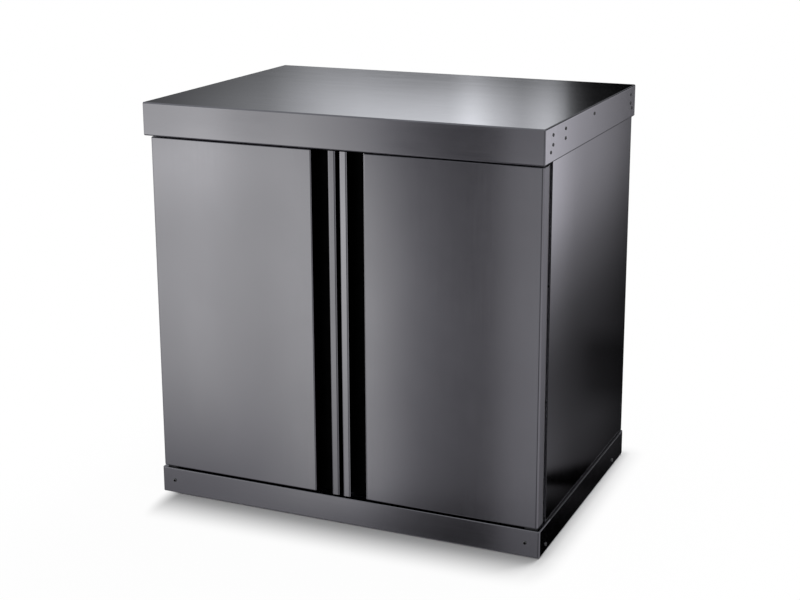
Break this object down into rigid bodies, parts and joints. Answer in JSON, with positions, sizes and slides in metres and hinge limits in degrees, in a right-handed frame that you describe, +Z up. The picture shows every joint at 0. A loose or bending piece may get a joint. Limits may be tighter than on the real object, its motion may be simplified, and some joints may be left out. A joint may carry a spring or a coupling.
{
  "type": "outdoor kitchen cabinet",
  "caption": "Free-standing outdoor kitchen base cabinet in black sheet steel, with a plain folded worktop, a pair of hinged doors with full-height grip channels, a shelf and a plinth",
  "frame": {"origin": "on the floor, under the middle of the worktop", "axes": "X to the right seen from the front (the long way of the worktop), Y from the doors to the back, Z up"},
  "size_m": [0.9076, 0.655, 0.9],
  "materials": {
    "black_steel": "black coated stainless steel sheet, smooth satin with a soft sheen",
    "inner_steel": "black coated stainless steel sheet, satin",
    "bracket_steel": "black powder coat",
    "rivet_steel": "darkened steel blind rivet",
    "screw_steel": "blackened stainless steel",
    "bright_steel": "plain stainless steel",
    "black_plastic": "black acetal",
    "magnet": "dark ferrite",
    "rubber": "black rubber"
  },
  "bodies": {
    "cabinet_body": {"back_panel": "black_steel", "back_panel_screws": "screw_steel", "base_panel": "inner_steel", "catch_housings": "black_plastic", "catch_magnets": "magnet", "catch_screws": "screw_steel", "door_buffers": "rubber", "foot_nuts": "bright_steel", "front_top_rail": "inner_steel", "hinge_pins": "bright_steel", "hinge_screws": "screw_steel", "left_lower_hinge_bracket": "bracket_steel", "left_side_panel": "black_steel", "left_upper_hinge_bracket": "bracket_steel", "plinth_back": "black_steel", "plinth_corner_plates": "bracket_steel", "plinth_front": "black_steel", "plinth_joint_screws": "screw_steel", "plinth_left": "black_steel", "plinth_right": "black_steel", "plinth_screws": "screw_steel", "rear_top_rail": "inner_steel", "right_lower_hinge_bracket": "bracket_steel", "right_side_panel": "black_steel", "right_upper_hinge_bracket": "bracket_steel", "shelf": "inner_steel", "shelf_supports": "bracket_steel", "worktop": "black_steel", "worktop_brackets": "bracket_steel", "worktop_rivets": "rivet_steel", "worktop_screws": "screw_steel", "worktop_stiffener": "bracket_steel"},
    "right_door": {"right_door_bushes": "black_plastic", "right_door_grip_channel": "black_steel", "right_door_liner": "inner_steel", "right_door_liner_screws": "screw_steel", "right_door_pivot_blocks": "black_plastic", "right_door_skin": "black_steel", "right_door_strike_plate": "bright_steel"},
    "left_door": {"left_door_bushes": "black_plastic", "left_door_grip_channel": "black_steel", "left_door_liner": "inner_steel", "left_door_liner_screws": "screw_steel", "left_door_pivot_blocks": "black_plastic", "left_door_skin": "black_steel", "left_door_strike_plate": "bright_steel"},
    "front_left_levelling_foot": {"front_left_foot": "bright_steel", "front_left_foot_sole": "rubber"},
    "front_right_levelling_foot": {"front_right_foot": "bright_steel", "front_right_foot_sole": "rubber"},
    "rear_left_levelling_foot": {"rear_left_foot": "bright_steel", "rear_left_foot_sole": "rubber"},
    "rear_right_levelling_foot": {"rear_right_foot": "bright_steel", "rear_right_foot_sole": "rubber"}
  },
  "joints": [
    {"name": "right_door_swing", "type": "hinge", "parent": "cabinet_body", "child": "right_door", "pos_m": [0.428, -0.2925, 0.066], "axis": [0, 0, 1], "range_deg": [0, 120]},
    {"name": "left_door_swing", "type": "hinge", "parent": "cabinet_body", "child": "left_door", "pos_m": [-0.428, -0.2925, 0.066], "axis": [0, 0, -1], "range_deg": [0, 120]},
    {"name": "front_left_foot_height", "type": "slide", "parent": "cabinet_body", "child": "front_left_levelling_foot", "axis": [0, 0, -1], "range_m": [0, 0.015]},
    {"name": "front_right_foot_height", "type": "slide", "parent": "cabinet_body", "child": "front_right_levelling_foot", "axis": [0, 0, -1], "range_m": [0, 0.015]},
    {"name": "rear_left_foot_height", "type": "slide", "parent": "cabinet_body", "child": "rear_left_levelling_foot", "axis": [0, 0, -1], "range_m": [0, 0.015]},
    {"name": "rear_right_foot_height", "type": "slide", "parent": "cabinet_body", "child": "rear_right_levelling_foot", "axis": [0, 0, -1], "range_m": [0, 0.015]}
  ]
}
